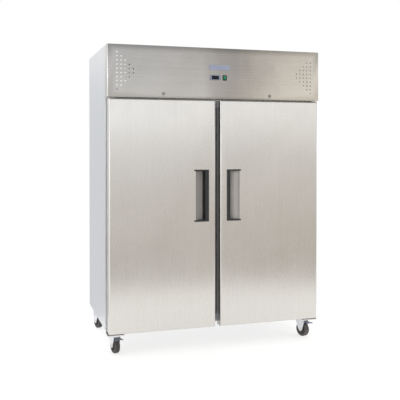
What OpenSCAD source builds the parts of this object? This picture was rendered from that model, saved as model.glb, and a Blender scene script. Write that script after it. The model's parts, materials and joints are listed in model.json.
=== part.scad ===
// Two-door upright reach-in refrigerator on castors, with its cooling unit on top.
// Millimetres. +Z is up, the doors face -Y, and the origin is on the floor under the centre.

/* [Cabinet] */
// Overall width
cabinet_w = 1480; // [1460:10:1500]
// Overall height from the floor to the top of the header
cabinet_h = 2010; // [1990:10:2030]
// Overall depth from the handles to the back
cabinet_d = 840; // [830:5:860]
// Thickness of the insulated side walls
wall_t = 64; // [62:1:66]
// Height of the header above the doors
header_h = 337; // [330:1:345]
// Thickness of the sheet metal
sheet_t = 1.2; // [1:0.1:1.4]

/* [Doors] */
// Thickness of a door without its seal
door_t = 72; // [70:1:74]
// Gap between a door and the front frame, filled by the seal
seal_gap = 16; // [14:1:18]
// Gap between the two doors
door_gap = 34; // [30:1:40]
// Distance from the cabinet side to the door edge
door_inset = 11; // [10:1:13]
// Gap between the doors and the header
door_top_gap = 8; // [7:1:9]
// How far the doors hang below the cabinet's bottom
door_drop = 12; // [10:1:14]

/* [Handles] */
// Width of a handle
handle_w = 100; // [96:1:106]
// Height of a handle
handle_h = 344; // [320:4:360]
// Distance from the door's free edge to the handle
handle_inset = 46; // [44:1:50]
// How far the handle stands out of the door
handle_proud = 5; // [4:1:6]
// Width of the handle's grip bar
grip_w = 24; // [22:1:26]

/* [Castors] */
// Height of a castor from the floor to its plate
castor_h = 168; // [164:1:172]
// Wheel diameter
wheel_d = 100; // [96:2:100]
// Width of a wheel
wheel_w = 34; // [30:1:36]
// Horizontal distance from the swivel axis to the axle
trail = 34; // [32:1:36]
// Swivel angles of the castors: front left, front right, rear left, rear right
castor_turn = [12, 21, 196, 168]; // [0:1:359]

/* [Shelves] */
// Height of the lowest shelf
shelf_z = 520; // [500:10:540]
// Distance between shelves
shelf_pitch = 320; // [300:10:330]

/* [Hidden] */
$fn = 48;

steel = [0.78, 0.77, 0.75];
galvanised = [0.68, 0.7, 0.72];
black = [0.09, 0.09, 0.1];
copper = [0.72, 0.43, 0.28];

gap = 0.2;                                  // clearance between sheets that lie together
x_side = cabinet_w / 2;
y_face = -cabinet_d / 2 + handle_proud;     // front face of the doors and the header
y_door_back = y_face + door_t;
y_frame = y_door_back + seal_gap;           // front face of the cabinet body
y_back = cabinet_d / 2;
z_base = castor_h;
z_header = cabinet_h - header_h;
z_door_top = z_header - door_top_gap;
z_door_low = z_base - door_drop;
z_deck = z_header + 17;                     // floor of the machine space
x_liner = x_side - wall_t;                  // inside faces of the storage space
z_floor = z_base + 52;
z_ceiling = z_deck - 68;
y_liner_back = y_back - 62;
z_mid_liner = (z_floor + z_ceiling) / 2;
h_liner = z_ceiling - z_floor;
corner_r = 14;                              // rounded inside corners of the storage space
frame_depth = 24;                           // how far the front frame reaches into the opening
mullion_w = 110;
mullion_d = 40;

x_free = door_gap / 2;                      // free edge of the right door
x_hinged = x_side - door_inset;             // hinged edge of the right door
door_w = x_hinged - x_free;
pivot_in = 22;                              // door pivot, in from the hinged edge
pivot_back = 30;                            // door pivot, back from the door's face
x_pivot = x_hinged - pivot_in;
y_pivot = y_face + pivot_back;
pin_r = 5;
pin_clear = 0.05;

y_fascia_hinge = y_frame - 11;
z_fascia_hinge = cabinet_h - 10;
x_lock = 371;
z_lock = z_header + 26;
lock_r = 9.5;
tongue_l = 40;
tongue_y = y_face + 26;                     // front face of a lock's tongue
x_ctrl = -19;                               // centre of the controller
z_ctrl = z_header + 141;
x_switch = 47.5;                            // centre of the power switch
vent_pitch = 26.4;
vent_r = 4;
x_vent = x_side - 64;                       // longest column of vent holes
z_vent = z_header + 169;                    // middle of the vent pattern
vent_rows = [10, 8, 6, 4, 2];

z_shelves = [for (i = [0:2]) shelf_z + i * shelf_pitch];
post_w = 30;
post_d = 12;
post_top = z_ceiling - 162;
y_posts = [-265, 300];                      // middles of the front and rear uprights
shelf_y0 = -235;
shelf_depth = 530;
rod_r = 3.5;
wire_r = 1.9;

pipe_x = 150;                               // where the refrigerant pipes pass the ceiling
pipe_y = 250;
evap_x = 430;                               // half the width of the evaporator cover
evap_y0 = -60;
evap_y1 = 330;
evap_h = 148;
z_evap_top = z_ceiling - 18;                // top of the evaporator's fin block
y_drain = y_back - 32;                      // drain pipe down the back wall
z_drain = z_ceiling - evap_h + 16;
evap_fan_x = 215;
evap_fan_z = z_ceiling - 76;
evap_fan_r = 62;

cond_x = -380;                              // centre of the condenser
cond_y = -230;                              // its front face
cond_w = 340;
cond_h = 250;
cond_d = 66;
cond_z = z_deck + 12;
cond_fan_z = cond_z + cond_h / 2;
cond_fan_r = 108;
comp_x = 130;                               // centre of the compressor
comp_y = 60;
comp_r = 98;
x_gland = 600;                              // where the supply cable leaves the control box
y_gland = -160;

castor_x = x_side - 66;
castor_y = [y_frame + 80, y_back - 92];
castor_at = [[-castor_x, castor_y[0]], [castor_x, castor_y[0]],
             [-castor_x, castor_y[1]], [castor_x, castor_y[1]]];
wheel_r = wheel_d / 2;
axle_r = 6;
pedal_y = -60;                              // pedal pivot in a castor's own frame
pedal_z = 104;
z_crown = castor_h - 18;                    // top of a fork's crown

// ---------- shared shapes ----------

// A box from its lowest to its highest corner.
module block(lo, hi) {
    translate(lo) cube(hi - lo);
}

// A centred rectangle with true round corners.
module round_rect(w, h, r) {
    square([w - 2 * r, h], center = true);
    square([w, h - 2 * r], center = true);
    for (x = [-1, 1], y = [-1, 1])
        translate([x * (w / 2 - r), y * (h / 2 - r)]) circle(r);
}

// Extrudes a shape drawn in X and Z from y0 to y1.
module along_y(y0, y1) {
    translate([0, y1, 0]) rotate([90, 0, 0]) linear_extrude(y1 - y0) children();
}

// Extrudes a shape drawn in Y and Z from x0 to x1.
module along_x(x0, x1) {
    translate([x0, 0, 0]) rotate([90, 0, 90]) linear_extrude(x1 - x0) children();
}

// A round bar between two points.
module rod(a, b, r) {
    v = b - a;
    l = norm(v);
    translate(a) rotate([0, acos(v[2] / l), atan2(v[1], v[0])]) cylinder(h = l, r = r);
}

// A bent pipe through a list of points, with ball elbows a little wider than the pipe.
module pipe(points, r) {
    for (i = [0:len(points) - 2]) rod(points[i], points[i + 1], r);
    for (i = [1:len(points) - 2]) translate(points[i]) sphere(r = r + 0.4);
}

// The storage space's rounded outline, grown by a margin.
module liner_outline(margin) {
    translate([0, z_mid_liner])
        round_rect(2 * (x_liner + margin), h_liner + 2 * margin, corner_r + margin);
}

module mirrored() {
    mirror([1, 0, 0]) children();
}

// ---------- cabinet body ----------

module side_panel() color(steel) {
    block([x_side - sheet_t, y_frame, z_base], [x_side, y_back, cabinet_h]);
    block([x_side - 22, y_frame, cabinet_h - sheet_t], [x_side, y_back, cabinet_h]);
}

module back_panel() color(galvanised) difference() {
    block([-x_side + sheet_t + gap, y_back - sheet_t, z_base],
          [x_side - sheet_t - gap, y_back, cabinet_h - sheet_t - gap]);
    for (s = [-1, 1]) translate([s * 358, 0, z_deck + 212]) along_y(y_back - 5, y_back + 5)
        round_rect(676, 184, 12);
}

module machine_deck() color(galvanised) difference() {
    block([-x_side + sheet_t + gap, y_frame + sheet_t + gap, z_deck - sheet_t],
          [x_side - sheet_t - gap, y_back - sheet_t - gap, z_deck]);
    translate([pipe_x, pipe_y, z_deck]) cylinder(h = 10, r = 24, center = true);
}

module base_pan() color(galvanised) difference() {
    block([-x_side + sheet_t + gap, y_frame + sheet_t + gap, z_base],
          [x_side - sheet_t - gap, y_back - sheet_t - gap, z_base + sheet_t]);
    translate([0, y_drain, z_base]) cylinder(h = 10, r = 11, center = true);
}

module cabinet_foam() color([0.93, 0.86, 0.62]) difference() {
    block([-x_side + sheet_t + gap, y_frame + sheet_t + gap, z_base + sheet_t + gap],
          [x_side - sheet_t - gap, y_back - sheet_t - gap, z_deck - sheet_t - gap]);
    along_y(y_frame - 5, y_liner_back + sheet_t + gap) liner_outline(sheet_t + gap);
    translate([pipe_x, pipe_y, z_ceiling - 10]) cylinder(h = 100, r = 24);
    block([-12, y_drain - 12, z_base - 10], [12, y_drain + 12, z_drain + 12]);
    block([-12, y_liner_back - 10, z_drain - 12], [12, y_drain, z_drain + 12]);
}

module inner_liner() color(steel) difference() {
    along_y(y_frame + frame_depth + gap, y_liner_back + sheet_t) liner_outline(sheet_t);
    along_y(y_frame, y_liner_back) liner_outline(0);
    translate([pipe_x, pipe_y, z_ceiling]) cylinder(h = 20, r = 24, center = true);
    along_y(y_liner_back - 10, y_back) translate([0, z_drain]) circle(11);
}

module front_frame() color(steel) difference() {
    union() {
        block([-x_side + sheet_t + gap, y_frame, z_base],
              [x_side - sheet_t - gap, y_frame + sheet_t, z_deck + 12]);
        along_y(y_frame, y_frame + frame_depth) liner_outline(sheet_t);
    }
    along_y(y_frame - 5, y_frame + frame_depth + 5) liner_outline(0);
}

module centre_mullion() color(steel) difference() {
    block([-mullion_w / 2, y_frame, z_floor + gap],
          [mullion_w / 2, y_frame + mullion_d, z_ceiling - gap]);
    block([-mullion_w / 2 + sheet_t, y_frame + sheet_t, z_floor - 5],
          [mullion_w / 2 - sheet_t, y_frame + mullion_d - sheet_t, z_ceiling + 5]);
}

// ---------- shelving ----------

// Rows of hook slots up both faces of an upright.
module hook_slots(x) {
    for (z = [z_floor + 60:60:post_top - 20])
        block([x - 8, -8, z], [x + 8, 8, z + 8]);
}

module wall_upright() difference() {
    block([x_liner - post_d - gap, -post_w / 2, z_floor + corner_r],
          [x_liner - gap, post_w / 2, post_top]);
    block([x_liner - post_d - gap + sheet_t, -post_w / 2 + sheet_t, z_floor],
          [x_liner + 5, post_w / 2 - sheet_t, post_top + 5]);
    hook_slots(x_liner - post_d - gap);
}

module centre_upright() difference() {
    block([-post_d, -post_w / 2, z_floor + gap], [post_d, post_w / 2, post_top]);
    block([-post_d + sheet_t, -post_w / 2 + sheet_t, z_floor - 5],
          [post_d - sheet_t, post_w / 2 - sheet_t, post_top + 5]);
    hook_slots(-post_d);
    hook_slots(post_d);
}

module shelf_uprights() color(steel) for (y = y_posts) translate([0, y, 0]) {
    wall_upright();
    mirrored() wall_upright();
    centre_upright();
}

// An angle that carries one side of a shelf. It grows inwards from x in direction s.
module runner(x, s) {
    y0 = y_posts[0] - post_w / 2 - 6;
    y1 = y_posts[1] + post_w / 2 + 6;
    x1 = x + s * sheet_t;
    x2 = x + s * 22;
    block([min(x, x1), y0, -gap - sheet_t], [max(x, x1), y1, 18]);
    block([min(x, x2), y0, -gap - sheet_t], [max(x, x2), y1, -gap]);
}

module shelf_runners() color(steel) for (z = z_shelves) translate([0, 0, z]) {
    runner(-x_liner + post_d + 2 * gap, 1);
    runner(-post_d - gap, -1);
    runner(post_d + gap, 1);
    runner(x_liner - post_d - 2 * gap, -1);
}

// One wire shelf of the right bay, with the underside of its frame at z = 0.
module wire_shelf() {
    x0 = post_d + 10;
    x1 = x_liner - post_d - 10;
    y1 = shelf_y0 + shelf_depth;
    wires = 24;
    translate([0, 0, rod_r]) {
        for (x = [x0, x1]) rod([x, shelf_y0, 0], [x, y1, 0], rod_r);
        for (y = [shelf_y0, y1]) rod([x0, y, 0], [x1, y, 0], rod_r);
        for (x = [x0, x1], y = [shelf_y0, y1]) translate([x, y, 0]) sphere(r = rod_r);
        for (i = [1:wires])
            rod([x0 + (x1 - x0) * i / (wires + 1), shelf_y0, 0],
                [x0 + (x1 - x0) * i / (wires + 1), y1, 0], wire_r);
        for (t = [1 / 3, 2 / 3])
            rod([x0, shelf_y0 + shelf_depth * t, 0], [x1, shelf_y0 + shelf_depth * t, 0], 2.6);
    }
}

module wire_shelves() color("silver") for (z = z_shelves) translate([0, 0, z]) {
    wire_shelf();
    mirrored() wire_shelf();
}

// ---------- evaporator under the ceiling ----------

// The holes in the front of the evaporator cover, one for each fan.
module evaporator_fan_holes() {
    for (s = [-1, 1])
        translate([s * evap_fan_x, 0, evap_fan_z]) rotate([90, 0, 0])
            cylinder(h = 60, r = evap_fan_r + 3, center = true);
}

module evaporator_cover() color("white") {
    z0 = z_ceiling - evap_h;
    difference() {
        block([-evap_x, evap_y0, z0], [evap_x, evap_y1, z_ceiling - gap]);
        block([-evap_x + 2, evap_y0 + 2, z0 + 2], [evap_x - 2, evap_y1 + 5, z_ceiling + 5]);
        translate([0, evap_y0, 0]) evaporator_fan_holes();
        for (i = [-9:9], row = [0:2])
            block([i * 42 - 14, evap_y0 + 130 + row * 45, z0 - 5],
                  [i * 42 + 14, evap_y0 + 138 + row * 45, z0 + 5]);
    }
    for (s = [-1, 1], ring = [1:3]) translate([s * evap_fan_x, evap_y0 + 1, evap_fan_z])
        rotate([90, 0, 0]) rotate_extrude() translate([ring * 17 + 1, 0]) circle(1.4);
    for (s = [-1, 1], a = [0, 90])
        translate([s * evap_fan_x, evap_y0 + 1, evap_fan_z]) rotate([0, 45 + a, 0])
            cylinder(h = 2 * evap_fan_r + 8, r = 1.6, center = true);
}

module evaporator_coil() color("silver") {
    z0 = z_evap_top - 100;
    block([-evap_x + 60, 120, z0], [evap_x - 60, 270, z_evap_top]);
    for (s = [-1, 1])
        block([s * (evap_x - 54) - 1, 112, z0 - 6], [s * (evap_x - 54) + 1, 278, z0 + 108]);
    for (s = [-1, 1], y = [140, 180, 220], z = [20, 60])
        translate([s * (evap_x - 60), y, z0 + z]) bend(s, 20, 5);
}

// A half-round return bend that stands out along X in direction s.
module bend(s, r, tube_r) {
    translate([0, 0, r / 2]) rotate([0, 0, s > 0 ? 0 : 180]) {
        for (z = [-r / 2, r / 2]) rod([-1, 0, z], [14, 0, z], tube_r);
        translate([14, 0, 0]) rotate([90, 90, 0])
            rotate_extrude(angle = 180) translate([r / 2, 0]) circle(min(tube_r, r / 2 - 1));
    }
}

// A fan with flat pitched blades about +Y, centred on its own origin.
module fan(r, blades, hub_r, depth) {
    rotate([-90, 0, 0]) {
        translate([0, 0, -depth / 2]) cylinder(h = depth, r = hub_r);
        for (i = [0:blades - 1]) rotate([0, 0, i * 360 / blades])
            intersection() {
                translate([hub_r - 2, 0, 0]) rotate([28, 0, 0])
                    translate([0, -r * 0.36, -1]) cube([r, r * 0.72, 2]);
                cylinder(h = depth, r = r, center = true);
            }
    }
}

module evaporator_fan(s) color(black)
    translate([s * evap_fan_x, evap_y0 + 18, evap_fan_z]) fan(evap_fan_r - 2, 5, 17, 22);

module condenser_fan() color(black)
    translate([cond_x, cond_y + cond_d + 30, cond_fan_z]) fan(cond_fan_r - 4, 5, 30, 34);

// A round shaded-pole motor behind its fan, with a bracket to a plate on either side.
module motor(r, l, arm) {
    rotate([-90, 0, 0]) cylinder(h = l, r = r);
    block([-arm, l - 14, -7], [arm, l - 8, 7]);
}

module fan_motors() color("dimgray") {
    for (s = [-1, 1]) translate([s * evap_fan_x, evap_y0 + 30, evap_fan_z]) motor(22, 44, 70);
    translate([cond_x, cond_y + cond_d + 48, cond_fan_z]) motor(38, 66, 126);
}

module condensate_drain() color("gainsboro") {
    z0 = z_drain - 10;
    difference() {
        block([-evap_x + 20, 100, z0], [evap_x - 20, 310, z0 + 20]);
        block([-evap_x + 22, 102, z0 + 2], [evap_x - 22, 308, z0 + 25]);
    }
    pipe([[0, 309, z_drain], [0, y_drain, z_drain], [0, y_drain, z_base - 20]], 8);
    difference() {
        block([-150, y_back - 130, z_base - 26], [150, y_back - 10, z_base - 1]);
        block([-147, y_back - 127, z_base - 23], [147, y_back - 13, z_base + 5]);
    }
}

module interior_lamp() color("white") {
    y0 = y_frame + frame_depth + 22;
    block([-320, y0, z_ceiling - 12], [320, y0 + 26, z_ceiling - gap]);
    translate([0, y0 + 13, z_ceiling - 17]) rotate([0, 90, 0])
        cylinder(h = 600, r = 8, center = true);
    for (s = [-1, 1]) block([s * 306 - 8, y0 + 3, z_ceiling - 26], [s * 306 + 8, y0 + 23, z_ceiling - 11]);
}

// ---------- machine space on top ----------

// Half outline of the compressor's shell, drawn for a revolve: a drum with domed ends.
module shell_outline(r, h) {
    dome = r * 0.55;
    square([r - dome, h]);
    translate([0, dome]) square([r, h - 2 * dome]);
    for (z = [dome, h - dome]) translate([r - dome, z]) circle(dome);
}

module compressor() color(black) {
    z0 = z_deck + 34;
    h = 205;
    translate([comp_x, comp_y, z0]) {
        rotate_extrude() intersection() {
            shell_outline(comp_r, h);
            square([comp_r + 1, h]);
        }
        translate([0, 0, h * 0.52]) cylinder(h = 7, r = comp_r + 5);
        block([comp_r - 20, -34, 60], [comp_r + 34, 34, 128]);
    }
    block([comp_x - 120, comp_y - 72, z_deck + 24], [comp_x + 120, comp_y + 72, z_deck + 40]);
    for (sx = [-1, 1], sy = [-1, 1])
        translate([comp_x + sx * 104, comp_y + sy * 56, z_deck + gap]) {
            cylinder(h = 26, r = 13);
            cylinder(h = 48, r = 5);
        }
}

module condenser_coil() color("silver") {
    x0 = cond_x - cond_w / 2;
    x1 = cond_x + cond_w / 2;
    block([x0, cond_y, cond_z], [x1, cond_y + cond_d, cond_z + cond_h]);
    for (s = [-1, 1]) block([cond_x + s * (cond_w / 2 + 6) - 1, cond_y - 4, z_deck + gap],
                            [cond_x + s * (cond_w / 2 + 6) + 1, cond_y + cond_d, cond_z + cond_h + 6]);
    for (s = [-1, 1], y = [16, 33, 50], z = [0:4])
        translate([cond_x + s * cond_w / 2, cond_y + y, cond_z + 22 + z * 46]) bend(s, 23, 4.5);
}

module fan_shroud() color(galvanised) {
    y0 = cond_y + cond_d + gap;
    w = cond_w / 2 + 8;
    translate([cond_x, 0, 0]) {
        difference() {
            union() {
                block([-w, y0, z_deck + gap], [w, y0 + 2, cond_z + cond_h + 6]);
                translate([0, y0, cond_fan_z]) rotate([-90, 0, 0])
                    cylinder(h = 46, r = cond_fan_r + 2);
            }
            translate([0, y0 - 5, cond_fan_z]) rotate([-90, 0, 0])
                cylinder(h = 60, r = cond_fan_r);
        }
        for (s = [-1, 1])
            block([s * (cond_fan_r + 18) - 1.5, y0 + 2, cond_fan_z - 12],
                  [s * (cond_fan_r + 18) + 1.5, y0 + 99.6, cond_fan_z + 12]);
        for (s = [-1, 1])
            block([s * w - 2, y0, z_deck + gap], [s * w + 2, y0 + 30, cond_z + cond_h + 6]);
    }
}

module refrigerant_tubes() color(copper) {
    zt = z_deck + 30;
    coil_x = cond_x + cond_w / 2 + 34;
    // hot gas from the compressor to the top of the condenser
    pipe([[comp_x - comp_r - 3, comp_y, zt + 90], [comp_x - 150, comp_y, zt + 90],
          [comp_x - 150, -120, zt + 90], [coil_x + 40, -120, zt + 190],
          [coil_x + 40, cond_y + 33, zt + 190], [coil_x, cond_y + 33, zt + 190]], 4);
    // liquid line, filter drier and capillary to the ceiling
    pipe([[coil_x, cond_y + 33, zt], [comp_x - 190, cond_y + 33, zt],
          [comp_x - 190, pipe_y, zt], [pipe_x - 10, pipe_y, zt],
          [pipe_x - 10, pipe_y, z_evap_top]], 3);
    rod([comp_x - 190, -60, zt], [comp_x - 190, 40, zt], 13);
    // suction line back to the compressor
    pipe([[pipe_x + 8, pipe_y, z_evap_top], [pipe_x + 8, pipe_y, zt + 70],
          [comp_x + 20, comp_y + comp_r + 40, zt + 70],
          [comp_x + 20, comp_y + comp_r + 2, zt + 70]], 6);
}

module control_box() color("gainsboro") difference() {
    union() {
        block([420, -230, z_deck + gap], [640, -90, z_deck + 130]);
        block([416, -234, z_deck + 122], [644, -86, z_deck + 138]);
    }
    block([423, -227, z_deck + 3], [637, -93, z_deck + 127]);
    translate([x_gland, y_gland, z_deck + 130]) cylinder(h = 30, r = 8.2, center = true);
}

// The gland that the supply cable comes out of, on the lid of the control box.
module cable_gland() color(black) translate([x_gland, y_gland, z_deck + 138]) difference() {
    union() {
        translate([0, 0, -18]) cylinder(h = 24, r = 8);
        translate([0, 0, gap]) cylinder(h = 6, r = 13, $fn = 6);
        translate([0, 0, 5]) cylinder(h = 15, r = 10.5);
    }
    translate([0, 0, -20]) cylinder(h = 60, r = 4.5);
}

// ---------- hinges ----------

// Fixed door brackets with their pins, for the right side.
module door_brackets() {
    x0 = x_pivot - 18;
    x1 = x_hinged + 6;
    y0 = y_pivot - 12;
    z_low = z_door_low - 5;
    z_high = z_door_top + 1.5;
    difference() {
        union() {
            block([x_pivot - 80, y0, z_low - 3], [x1, y_frame - gap, z_low + 4]);
            block([x_pivot - 78, y0 + 1, z_low - 10], [x1 - 2, y0 + 5, z_low - 3]);
            block([x_pivot + 3, y_frame - 4 - gap, z_low], [x1, y_frame - gap, z_low + 56]);
        }
        for (z = [28, 46]) translate([x_pivot + 15, y_frame, z_low + z]) rotate([90, 0, 0])
            cylinder(h = 12, r = 3, center = true);
    }
    translate([x_pivot, y_pivot, z_low]) cylinder(h = 28, r = pin_r);
    block([x0, y0, z_high], [x1, y_frame - gap, z_high + 4]);
    block([x0, y_frame - 4 - gap, z_high], [x1, y_frame - gap, z_high + 26]);
    translate([x_pivot, y_pivot, z_high - 22]) cylinder(h = 24, r = pin_r);
}

// The lug and pin that the header panel swings on, for the right side.
module fascia_lug() {
    x0 = x_side - 6.5;
    block([x0, y_fascia_hinge - 9, z_fascia_hinge - 9], [x0 + 4, y_frame + 40, z_fascia_hinge + 8]);
    translate([x0, y_fascia_hinge, z_fascia_hinge]) rotate([0, 90, 0])
        cylinder(h = 6.3, r = 4);
    block([x0, y_frame + 2, z_fascia_hinge - 30], [x0 + 5, y_frame + 40, z_fascia_hinge - 5]);
}

module hinge_brackets() color("silver") {
    door_brackets();
    mirrored() door_brackets();
    fascia_lug();
    mirrored() fascia_lug();
}

// ---------- doors, drawn for the right side ----------

// Outline of the door in X and Z, inset by m.
module door_rect(m) {
    translate([x_free + m, z_door_low + m]) square([door_w - 2 * m, z_door_top - z_door_low - 2 * m]);
}

// Plan of the door's outside with rounded front edges, inset by m.
module door_plan(m) {
    r = 5 - m;
    translate([x_free + m, y_face + 5]) square([door_w - 2 * m, door_t - 5]);
    translate([x_free + 5, y_face + m]) square([door_w - 10, 10]);
    for (x = [x_free + 5, x_hinged - 5]) translate([x, y_face + 5]) circle(r);
}

handle_x0 = x_free + handle_inset;
handle_x1 = handle_x0 + handle_w;
handle_mid_z = z_door_low + 876;
handle_z0 = handle_mid_z - handle_h / 2;
handle_z1 = handle_mid_z + handle_h / 2;
pocket_depth = 44;
x_ramp = handle_x1 - 10;                    // far edge of the recess, where its ramp starts

// What the handle, the lock and the pivot pins need out of the door.
module door_cuts() {
    block([handle_x0 + 2, y_face - 5, handle_z0 + 2],
          [x_ramp, y_face + pocket_depth + 2, handle_z1 - 2]);
    block([x_lock - 8, tongue_y - 4, z_door_top - 16], [x_lock + 30, tongue_y + 7, z_door_top + 5]);
}

module pin_holes(r) {
    for (z = [z_door_low - 1, z_door_top - 29])
        translate([x_pivot, y_pivot, z]) cylinder(h = 30, r = r);
}

module door_skin() color(steel) difference() {
    translate([0, 0, z_door_low]) linear_extrude(z_door_top - z_door_low) door_plan(0);
    translate([0, 0, z_door_low + sheet_t])
        linear_extrude(z_door_top - z_door_low - 2 * sheet_t) door_plan(sheet_t);
    block([x_free + 14, y_door_back - 20, z_door_low + 14],
          [x_hinged - 14, y_door_back + 5, z_door_top - 14]);
    door_cuts();
    pin_holes(pin_r + pin_clear);
}

module door_foam() color([0.93, 0.86, 0.62]) difference() {
    m = sheet_t + gap;
    block([x_free + m, y_face + 5, z_door_low + m], [x_hinged - m, y_door_back - 2 * sheet_t, z_door_top - m]);
    block([handle_x0 - 1, y_face - 5, handle_z0 - 1],
          [handle_x1 + 1, y_face + pocket_depth + 5, handle_z1 + 1]);
    block([x_lock - 12, tongue_y - 8, z_door_top - 20], [x_lock + 34, tongue_y + 11, z_door_top + 5]);
    pin_holes(9);
}

module door_liner() color("whitesmoke") difference() {
    z_low = z_door_low + 14 + gap;
    z_high = z_door_top - 14 - gap;
    union() {
        block([x_free + 14 + gap, y_door_back - 2, z_low], [x_hinged - 14 - gap, y_door_back, z_high]);
        block([x_free + 58, y_door_back - 2, z_floor + 22], [x_liner - 12, y_door_back + 18, z_ceiling - 22]);
    }
    block([x_free + 60, y_door_back - 10, z_floor + 24], [x_liner - 14, y_door_back + 16, z_ceiling - 24]);
}

module door_gasket() color("dimgray") {
    x0 = x_free + 8;
    x1 = x_pivot - 1;
    z0 = z_base + 1;
    z1 = z_door_top - 11;
    difference() {
        block([x0, y_door_back + gap, z0], [x1, y_frame - 0.5, z1]);
        block([x0 + 20, y_door_back - 5, z0 + 20], [x1 - 20, y_frame + 5, z1 - 20]);
    }
}

// Plan of the pocket's ramp: almost straight from the door's face down behind the grip bar.
ramp_steps = 10;
ramp_deep = 38;
ramp_run = x_ramp - handle_x0 - grip_w - 10;
function ramp_point(t, lift) = [
    x_ramp - 0.5 - t * ramp_run,
    y_face + 0.5 + ramp_deep * (t - 0.25 * sin(360 * t) / (2 * PI)) + lift];

module handle_pocket() color(steel) translate([0, 0, handle_z0 + 11])
    linear_extrude(handle_h - 22) polygon(concat(
        [for (i = [0:ramp_steps]) ramp_point(i / ramp_steps, 0)],
        [for (i = [ramp_steps:-1:0]) ramp_point(i / ramp_steps, sheet_t)]));

// A bracket of a grip bar with an arm above and below, and the box behind it.
module handle() color(black) difference() {
    union() {
        block([handle_x0, y_face - handle_proud, handle_z0], [handle_x1, y_face - gap, handle_z1]);
        block([handle_x0 + 2 + gap, y_face - 1, handle_z0 + 2 + gap],
              [x_ramp - gap, y_face + pocket_depth, handle_z1 - 2 - gap]);
    }
    block([handle_x0 + grip_w, y_face - 20, handle_z0 + 10], [handle_x1 + 1, y_face + 10, handle_z1 - 10]);
    block([handle_x0 + 8, y_face + 5, handle_z0 + 10],
          [handle_x1, y_face + pocket_depth - 3, handle_z1 - 10]);
}

// ---------- header panel and its controls ----------

// Plan of the header panel's wrap, inset by m: front and sides with rounded corners.
module fascia_plan(m) {
    r = 8;
    translate([-x_side + m, y_face + r]) square([2 * (x_side - m), y_frame - 1 - y_face - r]);
    translate([-x_side + r, y_face + m]) square([2 * (x_side - r), 2 * r]);
    for (s = [-1, 1]) translate([s * (x_side - r), y_face + r]) circle(r - m);
}

// The triangle of vent holes at the right end.
module vent_holes() {
    for (c = [0:len(vent_rows) - 1], i = [0:vent_rows[c] - 1])
        translate([x_vent - c * vent_pitch, y_face,
                   z_vent + (i - (vent_rows[c] - 1) / 2) * vent_pitch])
            rotate([90, 0, 0]) cylinder(h = 10, r = vent_r, center = true);
}

// Leaves the side wings round at their top rear corners, so that the panel can swing.
module wing_corner() {
    difference() {
        block([-x_side - 5, y_fascia_hinge, z_fascia_hinge], [x_side + 5, y_frame + 5, cabinet_h + 5]);
        translate([0, y_fascia_hinge, z_fascia_hinge]) rotate([0, 90, 0])
            cylinder(h = 2 * x_side, r = 9.5, center = true);
    }
}

module fascia_panel() color(steel) difference() {
    t = 1.5;
    union() {
        translate([0, 0, z_header]) linear_extrude(header_h) difference() {
            fascia_plan(0);
            fascia_plan(t);
            translate([-x_side, y_frame - 6]) square([2 * x_side, 10]);
        }
        for (s = [-1, 1])
            block([min(s * x_side, s * (x_side - t)), y_frame - 7, z_header],
                  [max(s * x_side, s * (x_side - t)), y_frame - 1, cabinet_h]);
        block([-x_side + 10, y_face + t / 2, cabinet_h - t], [x_side - 10, y_face + 55, cabinet_h]);
        block([-x_side + 10, y_face + t / 2, z_header], [x_side - 10, y_face + 66, z_header + t]);
    }
    vent_holes();
    mirrored() vent_holes();
    for (s = [-1, 1]) {
        translate([s * x_lock, y_face, z_lock]) rotate([90, 0, 0])
            cylinder(h = 20, r = lock_r + 0.05, center = true);
        translate([s * (x_side - 5), y_fascia_hinge, z_fascia_hinge]) rotate([0, 90, 0])
            cylinder(h = 20, r = 4.05, center = true);
        block([s * x_lock + min(-8, s * 40 ), tongue_y - 4, z_header - 5],
              [s * x_lock + max(8, s * 40), tongue_y + 7, z_header + 5]);
    }
    wing_corner();
    block([x_ctrl - 33.7, y_face - 5, z_ctrl - 14.2], [x_ctrl + 33.7, y_face + 5, z_ctrl + 14.2]);
    block([x_switch - 12.2, y_face - 5, z_ctrl - 15.2], [x_switch + 12.2, y_face + 5, z_ctrl + 15.2]);
}

module name_badge() color([0.55, 0.6, 0.75]) translate([11, 0, z_header + 208])
    along_y(y_face - 1.8, y_face - gap) round_rect(146, 34, 8);

module controller_case() color([0.72, 0.74, 0.8]) translate([x_ctrl, 0, z_ctrl]) difference() {
    union() {
        along_y(y_face - 3.2, y_face - gap) round_rect(73, 35, 4);
        block([-33.5, y_face - 1, -14], [33.5, y_face + 58, 14]);
    }
    block([-24.5, y_face - 10, -12.5], [24.5, y_face + 1, 12.5]);
    for (s = [-1, 1]) block([s * 30 - 3.7, y_face - 10, -11.7], [s * 30 + 3.7, y_face + 2, 11.7]);
}

module controller_display() color(black) translate([x_ctrl, 0, z_ctrl])
    block([-24.3, y_face - 2.6, -12.3], [24.3, y_face + 0.8, 12.3]);

// A rocking key beside the display. It tips about X to press its upper or lower half.
module controller_key(s) color([0.55, 0.57, 0.66]) translate([x_ctrl + s * 30, y_face - 1, z_ctrl]) {
    block([-3.4, -2.9, -11.2], [3.4, -1, 11.2]);
    rotate([0, 90, 0]) cylinder(h = 6.8, r = 1.6, center = true);
}

module switch_bezel() color(black) translate([x_switch, 0, z_ctrl]) difference() {
    union() {
        along_y(y_face - 2.5, y_face - gap) round_rect(29, 36, 3);
        block([-12, y_face - 1, -15], [12, y_face + 30, 15]);
    }
    block([-9.6, y_face - 10, -13], [9.6, y_face + 16, 13]);
}

// The rocker: a green cap whose two halves slope away from the pivot line.
module power_rocker() color([0.05, 0.5, 0.36]) translate([x_switch, y_face + 5, z_ctrl])
    rotate([-8, 0, 0]) {
        along_x(-9.2, 9.2) polygon([[0, -10.5], [-8, -11.5], [-6, 0], [-8, 11.5], [0, 10.5]]);
        rotate([0, 90, 0]) cylinder(h = 18.4, r = 3, center = true);
    }

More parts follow.
